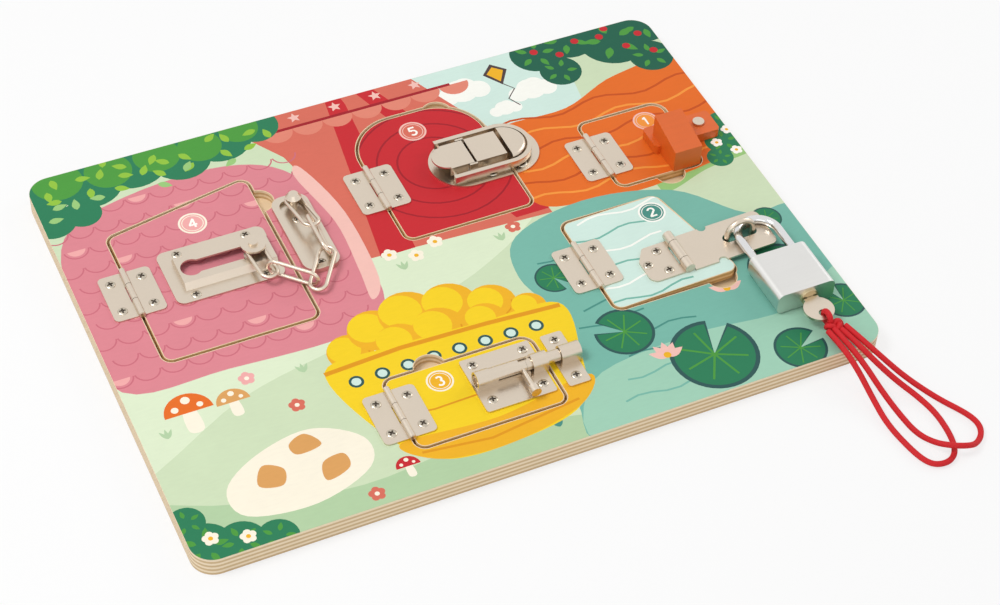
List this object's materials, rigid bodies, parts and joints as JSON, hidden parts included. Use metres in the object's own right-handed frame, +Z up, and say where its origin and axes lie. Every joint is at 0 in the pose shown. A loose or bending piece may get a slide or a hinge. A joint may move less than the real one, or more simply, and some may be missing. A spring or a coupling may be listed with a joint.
{
  "type": "busy board",
  "caption": "Wooden busy board with small hinged doors, each shut by a different latch, lock, bolt or chain, with a printed country scene.",
  "frame": {"origin": "middle of the board's underside", "axes": "+X to the right along the long front edge, +Y to the back edge, +Z up from the board"},
  "size_m": [0.4203, 0.3823, 0.033],
  "materials": {
    "print_panel": "printed plywood, satin lacquer",
    "plywood": "bare plywood, sanded",
    "nickel": "nickel plated, satin",
    "screw_steel": "nickel plated, dark recesses",
    "chrome": "polished",
    "brass": "brushed",
    "latch_wood": "stained orange, satin",
    "cord": "braided"
  },
  "bodies": {
    "board": {"front_panel": "print_panel", "back_panel": "plywood", "board_screws": "screw_steel", "hinge_pins": "nickel", "hinge_1_board_leaf": "nickel", "hinge_2_board_leaf": "nickel", "hinge_3_board_leaf": "nickel", "hinge_4_board_leaf": "nickel", "hinge_5_board_leaf": "nickel", "latch_screw": "screw_steel", "staple": "nickel", "bolt_keeper": "nickel", "anchor_plate": "nickel", "anchor_stud": "nickel", "toggle_catch": "nickel"},
    "door_one": {"door_1": "print_panel", "hinge_1_door_leaf": "nickel", "door_1_screws": "screw_steel"},
    "latch": {"latch_bar": "latch_wood", "latch_grip": "latch_wood"},
    "door_two": {"door_2": "print_panel", "hinge_2_door_leaf": "nickel", "door_2_screws": "screw_steel", "hasp_base": "nickel", "hasp_pin": "nickel"},
    "strap": {"hasp_strap": "nickel"},
    "padlock": {"padlock_body": "nickel"},
    "shackle": {"padlock_shackle": "chrome"},
    "plug": {"padlock_plug": "brass"},
    "key": {"padlock_key": "nickel", "key_cord_knot": "cord", "key_cord_loop_a": "cord", "key_cord_loop_b": "cord"},
    "door_three": {"door_3": "print_panel", "hinge_3_door_leaf": "nickel", "door_3_screws": "screw_steel", "bolt_base": "nickel"},
    "bolt": {"bolt_rod": "nickel"},
    "knob": {"bolt_knob": "nickel"},
    "door_four": {"door_4": "print_panel", "hinge_4_door_leaf": "nickel", "door_4_screws": "screw_steel", "guard_plate": "nickel"},
    "slider": {"guard_slider": "nickel", "chain_link_1": "nickel", "chain_link_2": "nickel"},
    "chain": {"chain_link_3": "nickel", "chain_link_4": "nickel", "chain_link_5": "nickel"},
    "door_five": {"door_5": "print_panel", "hinge_5_door_leaf": "nickel", "door_5_screws": "screw_steel", "toggle_base": "nickel", "toggle_pin": "nickel"},
    "lever": {"toggle_lever": "nickel"},
    "claw": {"toggle_loop": "nickel"}
  },
  "joints": [
    {"name": "door_one_swing", "type": "hinge", "parent": "board", "child": "door_one", "pos_m": [0.1169, 0.042, 0.0139], "axis": [0, -1, 0], "range_deg": [0, 110]},
    {"name": "latch_turn", "type": "hinge", "parent": "door_one", "child": "latch", "pos_m": [0.1822, 0.0408, 0.015], "axis": [0, 0, -1], "range_deg": [-90, 0]},
    {"name": "door_two_swing", "type": "hinge", "parent": "board", "child": "door_two", "pos_m": [0.0708, -0.0368, 0.0139], "axis": [0, -1, 0], "range_deg": [-1.9, 106]},
    {"name": "strap_swing", "type": "hinge", "parent": "door_two", "child": "strap", "pos_m": [0.12193, -0.0503, 0.01679], "axis": [0, -1, 0], "range_deg": [0, 105]},
    {"name": "padlock_lift", "type": "slide", "parent": "board", "child": "padlock", "axis": [0, 0, 1], "range_m": [0, 0.085]},
    {"name": "shackle_slide", "type": "slide", "parent": "padlock", "child": "shackle", "axis": [0, 1, 0], "range_m": [0, 0.0095]},
    {"name": "key_turn", "type": "hinge", "parent": "padlock", "child": "plug", "pos_m": [0.171, -0.111, 0.0197], "axis": [0, -1, 0], "range_deg": [0, 55], "deforming": ["key_cord_knot", "key_cord_loop_a", "key_cord_loop_b"]},
    {"name": "key_pull", "type": "slide", "parent": "plug", "child": "key", "axis": [0, -1, 0], "range_m": [0, 0.03], "deforming": ["key_cord_knot", "key_cord_loop_a", "key_cord_loop_b"]},
    {"name": "door_three_swing", "type": "hinge", "parent": "board", "child": "door_three", "pos_m": [-0.069, -0.0967, 0.0139], "axis": [0, -1, 0], "range_deg": [0, 110]},
    {"name": "bolt_slide", "type": "slide", "parent": "door_three", "child": "bolt", "axis": [1, 0, 0], "range_m": [-0.013, 0.004]},
    {"name": "knob_turn", "type": "hinge", "parent": "bolt", "child": "knob", "pos_m": [0.0025, -0.0946, 0.0175], "axis": [-1, 0, 0], "range_deg": [0, 90]},
    {"name": "door_four_swing", "type": "hinge", "parent": "board", "child": "door_four", "pos_m": [-0.1705, 0.0411, 0.0139], "axis": [0, -1, 0], "range_deg": [0, 110], "deforming": ["chain_link_1", "chain_link_2", "chain_link_3", "chain_link_4", "chain_link_5"]},
    {"name": "slider_slide", "type": "slide", "parent": "door_four", "child": "slider", "axis": [1, 0, 0], "range_m": [-0.0364, 0], "deforming": ["chain_link_1", "chain_link_2", "chain_link_3", "chain_link_4", "chain_link_5"]},
    {"name": "chain_swing", "type": "hinge", "parent": "board", "child": "chain", "pos_m": [-0.0637, 0.0716, 0.0175], "axis": [0, 0, 1], "range_deg": [0, 20], "deforming": ["chain_link_1", "chain_link_2", "chain_link_3", "chain_link_4", "chain_link_5"]},
    {"name": "door_five_swing", "type": "hinge", "parent": "board", "child": "door_five", "pos_m": [-0.0143, 0.0663, 0.0139], "axis": [0, -1, 0], "range_deg": [0, 110]},
    {"name": "lever_swing", "type": "hinge", "parent": "door_five", "child": "lever", "pos_m": [0.0428, 0.068, 0.0193], "axis": [0, 1, 0], "range_deg": [0, 100]},
    {"name": "claw_swing", "type": "hinge", "parent": "lever", "child": "claw", "pos_m": [0.031, 0.068, 0.017], "axis": [0, 1, 0], "range_deg": [-112, 0]}
  ],
  "couplings": [
    {"joint": "claw_swing", "follows": "lever_swing", "ratio": -1.1}
  ]
}
